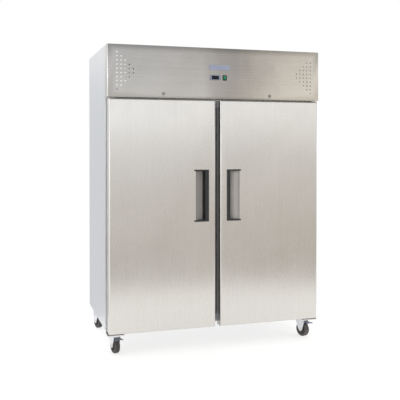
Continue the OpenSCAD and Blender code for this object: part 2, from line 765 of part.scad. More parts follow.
// A key lock for the right door: a slotted barrel with a tongue that turns down into the door.
module door_lock() color("silver") translate([x_lock, 0, z_lock]) {
    difference() {
        union() {
            translate([0, y_face - 3, 0]) rotate([-90, 0, 0]) cylinder(h = 3 - gap, r = 11.5);
            translate([0, y_face - 1, 0]) rotate([-90, 0, 0]) cylinder(h = tongue_y - y_face + 4, r = lock_r);
        }
        block([-1.2, y_face - 5, -5], [1.2, y_face + 8, 5]);
    }
    block([0, tongue_y, -6], [tongue_l, tongue_y + 3, 6]);
}

// ---------- castors ----------

module castor_place(i) {
    translate([castor_at[i][0], castor_at[i][1], 0]) rotate([0, 0, castor_turn[i]]) children();
}

// The fixed plates with their bolts and ball races.
module castor_plates() color("lightgray") for (i = [0:3])
    translate([castor_at[i][0], castor_at[i][1], 0]) {
        difference() {
            block([-52, -42, castor_h - 4 - gap], [52, 42, castor_h - gap]);
            for (sx = [-1, 1], sy = [-1, 1]) translate([sx * 42, sy * 31, castor_h])
                cylinder(h = 20, r = 4.4, center = true);
        }
        translate([0, 0, castor_h - 12]) cylinder(h = 9, r = 31);
        translate([0, 0, castor_h - 30]) cylinder(h = 24, r = 6);
        for (sx = [-1, 1], sy = [-1, 1]) translate([sx * 42, sy * 31, 0]) {
            translate([0, 0, castor_h - 11]) cylinder(h = 6.4, r = 7.2, $fn = 6);
            translate([0, 0, castor_h - 6]) cylinder(h = 6 - gap, r = 4);
        }
    }

// Side view of a fork leg in Y and Z.
module leg_outline() {
    polygon([[24, z_crown], [24, z_crown - 14], [-18, 46], [-50, 46], [-66, 98], [-66, z_crown]]);
    translate([-trail, wheel_r]) circle(13);
}

module castor_fork() color("lightgray") {
    leg = wheel_w / 2 + 5;
    difference() {
        union() {
            block([-leg - 3, -62, z_crown - 4], [leg + 3, 24, z_crown]);
            for (s = [-1, 1]) along_x(min(s * leg, s * (leg + 3)), max(s * leg, s * (leg + 3)))
                leg_outline();
            translate([0, 0, z_crown - 4]) cylinder(h = 9.5, r = 29);
        }
        translate([0, 0, z_crown - 14]) cylinder(h = 60, r = 6.1);
        along_x(-50, 50) translate([pedal_y, pedal_z]) circle(3.1);
    }
    along_x(-leg - 6, leg + 6) translate([-trail, wheel_r]) circle(axle_r);
    for (s = [-1, 1]) along_x(min(s * (leg + 3), s * (leg + 7)), max(s * (leg + 3), s * (leg + 7)))
        translate([-trail, wheel_r]) circle(9, $fn = 6);
}

module castor_wheel() color([0.16, 0.16, 0.17]) translate([0, -trail, wheel_r])
    rotate([0, 90, 0]) rotate_extrude() {
        translate([wheel_r - 20, -wheel_w / 2 + 6]) square([20, wheel_w - 12]);
        translate([wheel_r - 20, -wheel_w / 2]) square([14, wheel_w]);
        for (s = [-1, 1]) translate([wheel_r - 6, s * (wheel_w / 2 - 6)]) circle(6);
        translate([axle_r + 6, -4]) square([wheel_r - 20 - axle_r, 8]);
        translate([axle_r + 0.08, -wheel_w / 2 - 3]) square([9, wheel_w + 6]);
    }

// The brake pedal of a front castor, pressed down at rest.
module brake_pedal() color([0.5, 0.52, 0.58]) {
    along_x(-wheel_w / 2 - 3, wheel_w / 2 + 3) translate([pedal_y, pedal_z]) {
        circle(4.5);
        polygon([[0, 4.5], [-14, 3], [-44, -4], [-46, -8], [-13, -3], [-2, -4.4]]);
    }
    along_x(-wheel_w / 2 - 12, wheel_w / 2 + 12) translate([pedal_y, pedal_z])
        polygon([[-24, 0.5], [-45, -4], [-47, -8], [-26, -4.5]]);
    along_x(-wheel_w / 2 - 8.5, wheel_w / 2 + 8.5) translate([pedal_y, pedal_z]) circle(3);
}

// ---------- nodes ----------

mirrored() side_panel();  // left_side_panel
side_panel();  // right_side_panel
back_panel();
machine_deck();
base_pan();
cabinet_foam();
inner_liner();
front_frame();
centre_mullion();
shelf_uprights();
shelf_runners();
wire_shelves();
evaporator_coil();
evaporator_cover();
fan_motors();
condensate_drain();
interior_lamp();
compressor();
condenser_coil();
fan_shroud();
refrigerant_tubes();
control_box();
cable_gland();
castor_plates();
hinge_brackets();
condenser_fan();
evaporator_fan(-1);  // evaporator_fan_left
evaporator_fan(1);  // evaporator_fan_right
mirrored() door_skin();  // left_door_skin
mirrored() door_foam();  // left_door_foam
mirrored() door_liner();  // left_door_liner
mirrored() door_gasket();  // left_door_gasket
mirrored() handle();  // left_handle
mirrored() handle_pocket();  // left_handle_pocket
door_skin();  // right_door_skin
door_foam();  // right_door_foam
door_liner();  // right_door_liner
door_gasket();  // right_door_gasket
handle();  // right_handle
handle_pocket();  // right_handle_pocket
fascia_panel();
name_badge();
controller_case();
controller_display();
controller_key(-1);  // left_key
controller_key(1);  // right_key
switch_bezel();
power_rocker();
mirrored() door_lock();  // left_lock
door_lock();  // right_lock
castor_place(0) castor_fork();  // castor_fork_front_left
castor_place(1) castor_fork();  // castor_fork_front_right
castor_place(2) castor_fork();  // castor_fork_rear_left
castor_place(3) castor_fork();  // castor_fork_rear_right
castor_place(0) castor_wheel();  // castor_wheel_front_left
castor_place(1) castor_wheel();  // castor_wheel_front_right
castor_place(2) castor_wheel();  // castor_wheel_rear_left
castor_place(3) castor_wheel();  // castor_wheel_rear_right
castor_place(0) brake_pedal();  // brake_pedal_left
castor_place(1) brake_pedal();  // brake_pedal_right
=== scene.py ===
import json
import math

import bmesh
import bpy
from mathutils import Matrix, Vector


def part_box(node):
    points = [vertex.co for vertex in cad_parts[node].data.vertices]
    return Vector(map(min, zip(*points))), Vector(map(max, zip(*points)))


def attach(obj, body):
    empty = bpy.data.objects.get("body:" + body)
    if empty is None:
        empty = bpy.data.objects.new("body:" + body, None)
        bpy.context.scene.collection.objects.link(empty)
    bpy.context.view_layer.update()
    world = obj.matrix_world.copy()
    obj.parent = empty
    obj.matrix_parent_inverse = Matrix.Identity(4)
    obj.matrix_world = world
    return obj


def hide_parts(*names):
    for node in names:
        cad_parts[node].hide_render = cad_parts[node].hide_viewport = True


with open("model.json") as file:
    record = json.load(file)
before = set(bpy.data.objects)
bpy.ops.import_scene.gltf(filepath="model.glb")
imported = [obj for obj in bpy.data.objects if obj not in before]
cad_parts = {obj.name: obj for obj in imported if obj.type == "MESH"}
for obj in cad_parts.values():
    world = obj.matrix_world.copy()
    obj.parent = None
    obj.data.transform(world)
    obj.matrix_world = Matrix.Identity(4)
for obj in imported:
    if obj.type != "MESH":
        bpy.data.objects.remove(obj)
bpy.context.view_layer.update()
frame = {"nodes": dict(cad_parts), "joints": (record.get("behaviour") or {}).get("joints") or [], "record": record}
nodes = frame["nodes"]
joints = {j["name"]: j for j in frame["joints"]}
MM = 0.001


# ---------------------------------------------------------------- materials

def new_material(name):
    """A material with an empty Principled shader, its node tree and the shader."""
    mat = bpy.data.materials.new(name)
    mat.use_nodes = True
    tree = mat.node_tree
    return mat, tree, tree.nodes["Principled BSDF"]


def coordinates(tree, scale=(1, 1, 1)):
    """The object's own coordinates in metres, times a scale along each axis."""
    source = tree.nodes.new("ShaderNodeTexCoord")
    mapping = tree.nodes.new("ShaderNodeMapping")
    mapping.inputs["Scale"].default_value = scale
    tree.links.new(source.outputs["Object"], mapping.inputs["Vector"])
    return mapping.outputs["Vector"]


def noise(tree, vector, scale, detail=3.0, rough=0.55):
    node = tree.nodes.new("ShaderNodeTexNoise")
    node.inputs["Scale"].default_value = scale
    node.inputs["Detail"].default_value = detail
    node.inputs["Roughness"].default_value = rough
    tree.links.new(vector, node.inputs["Vector"])
    return node.outputs["Fac"]


def remap(tree, value, low, high, start=0.3, stop=0.7):
    """Maps value from start..stop to low..high."""
    node = tree.nodes.new("ShaderNodeMapRange")
    node.inputs["From Min"].default_value = start
    node.inputs["From Max"].default_value = stop
    node.inputs["To Min"].default_value = low
    node.inputs["To Max"].default_value = high
    tree.links.new(value, node.inputs["Value"])
    return node.outputs["Result"]


def mix_sockets(tree, first, second, factor=1.0, mode="MULTIPLY"):
    """Mixes two colours, each one a socket or three numbers."""
    node = tree.nodes.new("ShaderNodeMix")
    node.data_type = "RGBA"
    node.blend_type = mode
    for key, value in (("A", first), ("B", second), ("Factor", factor)):
        if isinstance(value, bpy.types.NodeSocket):
            tree.links.new(value, node.inputs[key])
        else:
            node.inputs[key].default_value = value if key == "Factor" else (*value, 1)
    return node.outputs["Result"]


def mix_colors(tree, factor, first, second):
    return mix_sockets(tree, first, second, factor, "MIX")


def recolor(mat, second, factor=1.0, mode="MULTIPLY"):
    """Mixes another colour into a material's base colour."""
    tree = mat.node_tree
    base = tree.nodes["Principled BSDF"].inputs["Base Color"]
    tree.links.new(mix_sockets(tree, base.links[0].from_socket, second, factor, mode), base)


def object_axes(tree):
    """The object's own coordinates, one output for each axis."""
    split = tree.nodes.new("ShaderNodeSeparateXYZ")
    tree.links.new(coordinates(tree), split.inputs["Vector"])
    return split.outputs


def color_ramp(tree, value, stops):
    node = tree.nodes.new("ShaderNodeValToRGB")
    elements = node.color_ramp.elements
    while len(elements) < len(stops):
        elements.new(0.5)
    for element, (position, color) in zip(elements, stops):
        element.position = position
        element.color = (*color, 1)
    tree.links.new(value, node.inputs["Fac"])
    return node.outputs["Color"]


def add_values(tree, first, second, operation="ADD"):
    node = tree.nodes.new("ShaderNodeMath")
    node.operation = operation
    tree.links.new(first, node.inputs[0])
    tree.links.new(second, node.inputs[1])
    return node.outputs["Value"]


def bump(tree, shader, height, distance, strength=1.0):
    node = tree.nodes.new("ShaderNodeBump")
    node.inputs["Strength"].default_value = strength
    node.inputs["Distance"].default_value = distance
    tree.links.new(height, node.inputs["Height"])
    tree.links.new(node.outputs["Normal"], shader.inputs["Normal"])


def brushed_steel(name, grain, color, rough=0.3, spread=0.6, dent=0.0, streak=0.02):
    """Stainless sheet with a brushed grain along the X or Z axis, smudges and slight waves."""
    mat, tree, shader = new_material(name)
    along, across = 5, 900
    fine = noise(tree, coordinates(tree, [along if a == grain else across for a in "XYZ"]), 1.0, 2.0)
    broad = noise(tree, coordinates(tree, [0.8 if a == grain else 34 for a in "XYZ"]), 1.0, 2.0)
    smudge = noise(tree, coordinates(tree), 3.0, 5.0, 0.62)
    tone = mix_colors(tree, add_values(tree, remap(tree, fine, -0.4, 0.4), remap(tree, broad, 0.1, 0.9)),
                      [c * (1 - streak) for c in color], [min(1, c * (1 + streak)) for c in color])
    tree.links.new(tone, shader.inputs["Base Color"])
    shine = add_values(tree, remap(tree, fine, -0.03, 0.03), remap(tree, smudge, rough - 0.02, rough + 0.04))
    tree.links.new(shine, shader.inputs["Roughness"])
    shader.inputs["Metallic"].default_value = 1.0
    shader.inputs["Anisotropic"].default_value = spread
    tangent = tree.nodes.new("ShaderNodeTangent")
    tangent.direction_type = "RADIAL"
    tangent.axis = "X" if grain == "X" else "Z"
    tree.links.new(tangent.outputs["Tangent"], shader.inputs["Tangent"])
    if dent:
        wave = noise(tree, coordinates(tree, (1.6, 1.6, 0.9)), 1.0, 1.0)
        bump(tree, shader, wave, dent)
    else:
        bump(tree, shader, fine, 0.00002, 0.5)
    return mat


def header_sheet(name, color):
    """The header's steel: brushed along X, with painted reflections that change its tone along its length as a
    slightly bowed sheet would, and painted shade darkening it towards its top.
    """
    mat = brushed_steel(name, "X", color, 0.24, 0.4, 0.0009, 0.02)
    tree = mat.node_tree
    axes = object_axes(tree)
    waves = noise(tree, coordinates(tree, (7, 1, 2.2)), 1.0, 3.0)
    shifted = add_values(tree, axes["X"], remap(tree, waves, -0.05, 0.05))
    # painted reflection: light and dark bands along the header's length
    painted_reflection = color_ramp(tree, remap(tree, shifted, 0, 1, -0.74, 0.74), HEADER_PAINTED_REFLECTIONS)
    # painted shade: lighter near the header's bottom edge, darker towards its top
    recolor(mat, mix_sockets(tree, painted_reflection, remap(tree, axes["Z"], 1.1, 0.88, 1.68, 2.0)))
    return mat


def side_sheet(name, color):
    """The side panels' steel, drawn almost black on its inner face beside the cooling unit as painted shade of the
    machine compartment.
    """
    mat = brushed_steel(name, "Z", color, 0.33, 0.4)
    tree = mat.node_tree
    inner_face, deck, top, front = 0.739, 1.69, 2.009, -0.36
    axes = object_axes(tree)
    outward = add_values(tree, axes["X"], axes["X"], "MULTIPLY")
    inner = remap(tree, outward, 1, 0, inner_face ** 2, (inner_face + 0.0006) ** 2)
    high = add_values(tree, remap(tree, axes["Z"], 0, 1, deck, deck + 0.01),
                      remap(tree, axes["Z"], 1, 0, top, top + 0.0004), "MULTIPLY")
    deep = remap(tree, axes["Y"], 0, 1, front, front + 0.01)
    painted_compartment_shade = add_values(tree, add_values(tree, inner, high, "MULTIPLY"), deep, "MULTIPLY")
    # painted shade: the inner face above the deck, behind the front, is drawn nearly black
    recolor(mat, (0.03, 0.03, 0.03), painted_compartment_shade, "MIX")
    return mat


def pocket_sheet(name, color):
    """The matt steel of the handles' sloping pockets, drawn lighter towards their deep end as painted light that
    offsets the shade there.
    """
    mat = brushed_steel(name, "Z", color, 0.55, 0.1)
    tree = mat.node_tree
    tree.nodes["Principled BSDF"].inputs["Metallic"].default_value = 0.3
    deep_end, shallow_end = 0.095, 0.15
    axes = object_axes(tree)
    outward = add_values(tree, axes["X"], axes["X"], "MULTIPLY")
    # painted light: lighter at the deep end under the grip, darker at the mouth
    recolor(mat, remap(tree, outward, 1.9, 0.62, deep_end ** 2, shallow_end ** 2))
    return mat


def galvanised(name, color):
    """Zinc-coated sheet with its crystal pattern."""
    mat, tree, shader = new_material(name)
    cells = tree.nodes.new("ShaderNodeTexVoronoi")
    cells.inputs["Scale"].default_value = 90
    tree.links.new(coordinates(tree), cells.inputs["Vector"])
    flat = tree.nodes.new("ShaderNodeSeparateColor")
    tree.links.new(cells.outputs["Color"], flat.inputs["Color"])
    tone = mix_colors(tree, flat.outputs["Red"], [c * 0.86 for c in color], [c * 1.08 for c in color])
    tree.links.new(tone, shader.inputs["Base Color"])
    tree.links.new(remap(tree, flat.outputs["Green"], 0.38, 0.54, 0, 1), shader.inputs["Roughness"])
    shader.inputs["Metallic"].default_value = 0.9
    bump(tree, shader, noise(tree, coordinates(tree), 40, 3.0), 0.0002, 0.2)
    return mat


def moulded(name, color, rough=0.45, grain=900, depth=0.00006, coat=0.0, worn=1.12):
    """Moulded plastic or rubber with a fine texture and slight wear."""
    mat, tree, shader = new_material(name)
    fine = noise(tree, coordinates(tree), grain, 2.0)
    worn_places = noise(tree, coordinates(tree), 14, 5.0, 0.65)
    tone = mix_colors(tree, remap(tree, worn_places, 0, 1, 0.42, 0.68), color,
                      [min(1, c * worn + 0.006) for c in color])
    tree.links.new(tone, shader.inputs["Base Color"])
    tree.links.new(remap(tree, worn_places, rough - 0.07, rough + 0.1), shader.inputs["Roughness"])
    shader.inputs["Coat Weight"].default_value = coat
    bump(tree, shader, fine, depth, 0.6)
    return mat


def plain_metal(name, color, rough=0.3, tint=None, streak=(160, 160, 160)):
    """Plated, cast or drawn metal with uneven tone and fine scratches."""
    mat, tree, shader = new_material(name)
    tint = tint or [c * 0.78 for c in color]
    cloud = noise(tree, coordinates(tree), 22, 5.0, 0.6)
    scratch = noise(tree, coordinates(tree, streak), 6.0, 3.0)
    tree.links.new(mix_colors(tree, remap(tree, cloud, 0, 1, 0.35, 0.7), color, tint),
                   shader.inputs["Base Color"])
    tree.links.new(remap(tree, scratch, rough - 0.08, rough + 0.12), shader.inputs["Roughness"])
    shader.inputs["Metallic"].default_value = 1.0
    bump(tree, shader, scratch, 0.00003, 0.4)
    return mat


def painted(name, color, rough=0.35, dust=0.0):
    """Sprayed paint with a slight orange peel, and dust where the surface faces up."""
    mat, tree, shader = new_material(name)
    peel = noise(tree, coordinates(tree), 320, 2.0)
    cloud = noise(tree, coordinates(tree), 30, 5.0, 0.7)
    tone = mix_colors(tree, remap(tree, cloud, 0, 1), [c * 0.9 for c in color], [c * 1.15 for c in color])
    if dust:
        split = tree.nodes.new("ShaderNodeSeparateXYZ")
        geometry = tree.nodes.new("ShaderNodeNewGeometry")
        tree.links.new(geometry.outputs["Normal"], split.inputs["Vector"])
        upward = remap(tree, split.outputs["Z"], 0, dust, 0.2, 1.0)
        dusty = add_values(tree, upward, cloud, "MULTIPLY")
        tone = mix_sockets(tree, tone, (0.36, 0.34, 0.31), dusty, "MIX")
    tree.links.new(tone, shader.inputs["Base Color"])
    tree.links.new(remap(tree, cloud, rough - 0.06, rough + 0.1), shader.inputs["Roughness"])
    bump(tree, shader, peel, 0.00015, 0.35)
    return mat


def hinge_metal(name, zinc, dark, low, high):
    """Plated steel with a near-black, non-metallic band between two heights: painted shade of the gap under the
    door's bottom.
    """
    mat, tree, shader = new_material(name)
    height = object_axes(tree)["Z"]
    above = remap(tree, height, 0, 1, low, low + 0.0002)
    below = remap(tree, height, 1, 0, high, high + 0.0002)
    # painted shade: the band just under the doors is drawn near black and not metallic
    gap_shade_band = add_values(tree, above, below, "MULTIPLY")
    cloud = noise(tree, coordinates(tree), 22, 5.0, 0.6)
    plated = mix_colors(tree, remap(tree, cloud, 0, 1), zinc, [c * 0.85 for c in zinc])
    tree.links.new(mix_sockets(tree, plated, dark, gap_shade_band, "MIX"), shader.inputs["Base Color"])
    tree.links.new(remap(tree, gap_shade_band, 0.9, 0.0, 0, 1), shader.inputs["Metallic"])
    tree.links.new(remap(tree, cloud, 0.32, 0.48), shader.inputs["Roughness"])
    bump(tree, shader, noise(tree, coordinates(tree), 240, 3.0), 0.00008, 0.4)
    return mat


def foam_material(name):
    """Cut polyurethane foam with open cells."""
    mat, tree, shader = new_material(name)
    cells = tree.nodes.new("ShaderNodeTexVoronoi")
    cells.inputs["Scale"].default_value = 500
    tree.links.new(coordinates(tree), cells.inputs["Vector"])
    tone = mix_colors(tree, cells.outputs["Distance"], (0.72, 0.58, 0.3), (0.88, 0.76, 0.46))
    tree.links.new(tone, shader.inputs["Base Color"])
    shader.inputs["Roughness"].default_value = 0.95
    bump(tree, shader, cells.outputs["Distance"], 0.0008)
    return mat


def glossy_black(name, color=(0.005, 0.005, 0.006)):
    """A smoked display window with faint smears."""
    mat, tree, shader = new_material(name)
    smear = noise(tree, coordinates(tree, (60, 60, 220)), 1.0, 4.0)
    tree.links.new(remap(tree, smear, 0.06, 0.24), shader.inputs["Roughness"])
    tree.links.new(mix_colors(tree, smear, color, [c * 2.5 for c in color]), shader.inputs["Base Color"])
    shader.inputs["Specular IOR Level"].default_value = 0.12
    return mat


# painted reflections on the header: how light it is drawn, from its left end to its right end, as if bowed
HEADER_PAINTED_REFLECTIONS = [(0.0, (1.06, 1.06, 1.06)), (0.12, (1.0, 0.99, 0.975)), (0.42, (0.98, 0.955, 0.93)),
                (0.5, (0.78, 0.75, 0.72)), (0.56, (0.74, 0.71, 0.68)), (0.62, (0.82, 0.78, 0.74)),
                (0.67, (0.91, 0.87, 0.81)), (0.73, (1.0, 0.96, 0.9)), (0.79, (1.16, 1.11, 1.04)),
                (0.86, (1.22, 1.17, 1.08)), (1.0, (1.33, 1.28, 1.2))]

MATERIALS = {
    "door_steel": brushed_steel("door_steel", "Z", (0.68, 0.657, 0.625), 0.26, 0.55, streak=0.012),
    # darker steel for the doors' free side faces: painted shade of the gap between the doors
    "door_edge_steel": brushed_steel("door_edge_steel", "Z", (0.4, 0.395, 0.39), 0.22, 0.2),
    "header_steel": header_sheet("header_steel", (0.5, 0.487, 0.47)),
    "cabinet_steel": brushed_steel("cabinet_steel", "Z", (0.7, 0.71, 0.73), 0.33, 0.4),
    "side_steel": side_sheet("side_steel", (0.67, 0.675, 0.69)),
    # darker steel; on the centre mullion it is painted shade of the gap between the doors
    "frame_steel": brushed_steel("frame_steel", "Z", (0.45, 0.45, 0.45), 0.3, 0.3),
    "inner_steel": brushed_steel("inner_steel", "Z", (0.74, 0.745, 0.755), 0.36, 0.3),
    "pocket_steel": pocket_sheet("pocket_steel", (0.34, 0.32, 0.3)),
    "galvanised": galvanised("galvanised", (0.6, 0.62, 0.64)),
    "foam": foam_material("foam"),
    "aluminium_fins": plain_metal("aluminium_fins", (0.82, 0.83, 0.84), 0.34),
    "white_plastic": moulded("white_plastic", (0.8, 0.81, 0.82), 0.4),
    "lamp": moulded("lamp", (0.9, 0.91, 0.92), 0.18, coat=0.4),
    "machine_black": painted("machine_black", (0.018, 0.018, 0.02), 0.32, dust=0.35),
    "copper": plain_metal("copper", (0.78, 0.4, 0.24), 0.28, (0.42, 0.19, 0.11)),
    "seal_grey": moulded("seal_grey", (0.72, 0.72, 0.71), 0.55),
    "handle_black": moulded("handle_black", (0.013, 0.013, 0.014), 0.5, 700, 0.0001),
    "hinge_dark": hinge_metal("hinge_dark", (0.75, 0.74, 0.72), (0.035, 0.032, 0.03), 0.1481, 0.1556),
    "badge": moulded("badge", (0.23, 0.25, 0.33), 0.4),
    "controller_grey": moulded("controller_grey", (0.17, 0.19, 0.26), 0.42),
    "display_black": glossy_black("display_black"),
    "rocker_green": moulded("rocker_green", (0.006, 0.16, 0.08), 0.25, coat=0.5),
    "black_plastic": moulded("black_plastic", (0.01, 0.01, 0.011), 0.5),
    "chrome_wire": plain_metal("chrome_wire", (0.86, 0.87, 0.88), 0.14),
    "lock_metal": plain_metal("lock_metal", (0.42, 0.41, 0.4), 0.36),
    "zinc": plain_metal("zinc", (0.82, 0.83, 0.86), 0.34, (0.7, 0.7, 0.72)),
    "wheel_grey": moulded("wheel_grey", (0.045, 0.041, 0.038), 0.6, 260, 0.0002, worn=2.6),
    "pedal_grey": moulded("pedal_grey", (0.16, 0.18, 0.24), 0.42),
}
SLOT_MATERIAL = {p["node"]: p["material_slot"] for p in frame["record"]["subparts"]}
# the centre mullion takes the darker frame steel as painted shade of the gap between the doors
SPECIAL_MATERIAL = {"centre_mullion": "frame_steel", "left_side_panel": "side_steel",
                    "right_side_panel": "side_steel", "left_lock": "lock_metal", "right_lock": "lock_metal"}


# ---------------------------------------------------------------- mesh helpers

def link(name, mesh, material):
    obj = bpy.data.objects.new(name, mesh)
    bpy.context.scene.collection.objects.link(obj)
    mesh.materials.clear()
    mesh.materials.append(MATERIALS[material])
    return obj


def from_bmesh(name, bm, material, smooth=True):
    bmesh.ops.recalc_face_normals(bm, faces=bm.faces)
    mesh = bpy.data.meshes.new(name)
    bm.to_mesh(mesh)
    bm.free()
    mesh.polygons.foreach_set("use_smooth", [smooth] * len(mesh.polygons))
    return link(name, mesh, material)


def place(piece, body, slot, *replaced):
    """Puts a finished piece on its body and hides the nodes it stands for; the slot argument is not used."""
    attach(piece, body)
    if replaced:
        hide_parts(*replaced)
    return piece


def sharpen(piece, degrees=35):
    """Smooth shading that keeps edges above an angle sharp."""
    mesh = piece.data
    limit = math.radians(degrees)
    bm = bmesh.new()
    bm.from_mesh(mesh)
    for edge in bm.edges:
        edge.smooth = len(edge.link_faces) == 2 and edge.calc_face_angle(0) < limit
    for face in bm.faces:
        face.smooth = True
    bm.to_mesh(mesh)
    bm.free()


def add_box(bm, low, high):
    """Adds a box between two corners and returns its vertices."""
    made = bmesh.ops.create_cube(bm, size=1)["verts"]
    centre = (Vector(low) + Vector(high)) / 2
    size = Vector(high) - Vector(low)
    for v in made:
        v.co = Vector([v.co[i] * size[i] + centre[i] for i in range(3)])
    return made


def add_cylinder(bm, start, end, radius, sides=24):
    """Adds a capped cylinder between two points."""
    start, end = Vector(start), Vector(end)
    axis = end - start
    turn = axis.to_track_quat("Z", "Y").to_matrix().to_4x4()
    matrix = Matrix.Translation((start + end) / 2) @ turn
    return bmesh.ops.create_cone(bm, cap_ends=True, segments=sides, radius1=radius, radius2=radius,
                                 depth=axis.length, matrix=matrix)["verts"]


def bevel_edges(bm, edges, width, segments=4):
    bmesh.ops.bevel(bm, geom=list(edges), offset=width, segments=segments, profile=0.5,
                    affect="EDGES", clamp_overlap=True)


def box_edges(verts, test):
    """The edges of a box whose two ends pass a test on their middle point."""
    edges = {e for v in verts for e in v.link_edges}
    return [e for e in edges if test((e.verts[0].co + e.verts[1].co) / 2)]


def combine(piece, tool_bm, operation):
    """Joins a tool's shape to a piece's mesh, or cuts it away."""
    bmesh.ops.recalc_face_normals(tool_bm, faces=tool_bm.faces)
    mesh = bpy.data.meshes.new("tool")
    tool_bm.to_mesh(mesh)
    tool_bm.free()
    tool = bpy.data.objects.new("tool", mesh)
    bpy.context.scene.collection.objects.link(tool)
    modifier = piece.modifiers.new("combine", "BOOLEAN")
    modifier.operation = operation
    modifier.solver = "EXACT"
    modifier.object = tool
    graph = bpy.context.evaluated_depsgraph_get()
    done = bpy.data.meshes.new_from_object(piece.evaluated_get(graph))
    piece.modifiers.clear()
    material = piece.data.materials[0]
    piece.data = done
    done.materials.clear()
    done.materials.append(material)
    bpy.data.objects.remove(tool)
    return piece


def cut(piece, tool_bm):
    return combine(piece, tool_bm, "DIFFERENCE")


def join(piece, tool_bm):
    return combine(piece, tool_bm, "UNION")


def add_prism(bm, outline, z0, z1, turn=None):
    """Adds a straight prism on an XY outline, turned by a matrix if one is given."""
    turn = turn or Matrix.Identity(4)
    bottom = [bm.verts.new(turn @ Vector((x, y, z0))) for x, y in outline]
    top = [bm.verts.new(turn @ Vector((x, y, z1))) for x, y in outline]
    bm.faces.new(list(reversed(bottom)))
    bm.faces.new(top)
    for i in range(len(outline)):
        j = (i + 1) % len(outline)
        bm.faces.new((bottom[i], bottom[j], top[j], top[i]))
    return bottom + top


def rounded_front(low, high, radius, inset=0.0, steps=6):
    """Plan of a box whose two front corners are round."""
    x0, x1, y0, y1 = low.x + inset, high.x - inset, low.y + inset, high.y
    r = radius - inset
    outline = [(x0, y1)]
    for x, start in ((x0 + r, math.pi), (x1 - r, 1.5 * math.pi)):
        for i in range(steps + 1):
            a = start + math.pi / 2 * i / steps
            outline.append((x + r * math.cos(a), y0 + r + r * math.sin(a)))
    return outline + [(x1, y1)]


def soften(piece, width, segments=2, angle=32):
    """Rounds a CAD node's edges with modifiers, without touching its mesh."""
    weld = piece.modifiers.new("weld", "WELD")
    weld.merge_threshold = 0.00002
    flat = piece.modifiers.new("flat", "DECIMATE")
    flat.decimate_type = "DISSOLVE"
    flat.angle_limit = math.radians(0.6)
    rounded = piece.modifiers.new("rounded", "BEVEL")
    rounded.limit_method = "ANGLE"
    rounded.angle_limit = math.radians(angle)
    rounded.width = width
    rounded.segments = segments
    rounded.use_clamp_overlap = True
    rounded.harden_normals = False


# ---------------------------------------------------------------- camera, light and floor

CAMERA_PLACE = (-1.412, -4.628, 1.375)
CAMERA_YAW = 16.99
CAMERA_PITCH = -0.62


def make_camera():
    data = bpy.data.cameras.new("camera")
    data.sensor_width = 36
    data.lens = 60.08
    data.shift_y = -0.1225
    data.clip_start = 0.05
    data.clip_end = 100
    camera = bpy.data.objects.new("camera", data)
    camera.location = CAMERA_PLACE
    camera.rotation_euler = (math.radians(90 + CAMERA_PITCH), 0, math.radians(-CAMERA_YAW))
    bpy.context.scene.collection.objects.link(camera)
    bpy.context.scene.camera = camera


def area_light(name, place_at, target, size, power, color=(1, 1, 1)):
    data = bpy.data.lights.new(name, "AREA")
    data.shape = "RECTANGLE"
    data.size, data.size_y = size
    data.energy = power
    data.color = color
    lamp = bpy.data.objects.new(name, data)
    lamp.location = place_at
    lamp.visible_glossy = False
    lamp.rotation_euler = (Vector(target) - Vector(place_at)).to_track_quat("-Z", "Y").to_euler()
    bpy.context.scene.collection.objects.link(lamp)


def make_world():
    """A studio seen by the steel: a bright band at eye level, a darker room above and below it, and a
    cooler wall behind. The camera itself sees plain white."""
    world = bpy.data.worlds.new("studio")
    bpy.context.scene.world = world
    world.use_nodes = True
    tree = world.node_tree
    background = tree.nodes["Background"]
    source = tree.nodes.new("ShaderNodeTexCoord")
    split = tree.nodes.new("ShaderNodeSeparateXYZ")
    tree.links.new(source.outputs["Generated"], split.inputs["Vector"])
    height = remap(tree, split.outputs["Z"], 0, 1, -0.35, 0.35)
    front = color_ramp(tree, height, FRONT_STOPS)
    forward = remap(tree, split.outputs["Y"], 1, -1, -1, 1)
    azimuth = add_values(tree, split.outputs["X"], forward, "ARCTAN2")
    sideways = color_ramp(tree, remap(tree, azimuth, 0, 1, math.radians(-70), math.radians(50)), SIDE_STOPS)
    behind = remap(tree, split.outputs["Y"], 0, 1, -0.25, 0.35)
    room = mix_sockets(tree, mix_sockets(tree, front, sideways), color_ramp(tree, height, BEHIND_STOPS),
                       behind, "MIX")
    path = tree.nodes.new("ShaderNodeLightPath")
    seen = mix_sockets(tree, room, (1, 1, 1), path.outputs["Is Camera Ray"], "MIX")
    tree.links.new(seen, background.inputs["Color"])
    background.inputs["Strength"].default_value = 1.0


# colours of the studio in front of the object, from 20 degrees below eye level to 20 degrees above
FRONT_STOPS = [(0.0, (0.57, 0.55, 0.53)), (0.2, (0.6, 0.58, 0.555)), (0.27, (0.68, 0.655, 0.62)),
               (0.38, (0.77, 0.74, 0.71)), (0.46, (0.77, 0.755, 0.745)), (0.53, (0.77, 0.77, 0.775)),
               (0.57, (0.82, 0.83, 0.84)), (0.61, (1.15, 1.18, 1.21)), (0.66, (1.75, 1.8, 1.86)),
               (0.72, (1.4, 1.44, 1.49)), (0.78, (0.9, 0.92, 0.95)), (1.0, (0.38, 0.38, 0.39))]
# its tint towards each side, from 70 degrees left to 50 degrees right
SIDE_STOPS = [(0.0, (2.4, 2.4, 2.4)), (0.25, (2.4, 2.4, 2.4)), (0.5, (1.0, 1.0, 1.0)),
              (0.72, (1.0, 1.0, 1.0)), (0.78, (0.96, 0.93, 0.885)), (0.86, (0.96, 0.93, 0.88)),
              (0.95, (1.0, 1.0, 1.0))]
# the wall behind, which the side panels reflect, over the same heights
BEHIND_STOPS = [(0.0, (0.79, 0.8, 0.82)), (0.62, (0.81, 0.83, 0.85)), (0.68, (1.12, 1.13, 1.13)),
                (1.0, (1.15, 1.15, 1.15))]
FLOOR_MIDDLE = (0, -0.68)
FLOOR_SIZE = (2.6, 1.4)                     # half the length of the floor sheet along X and Y


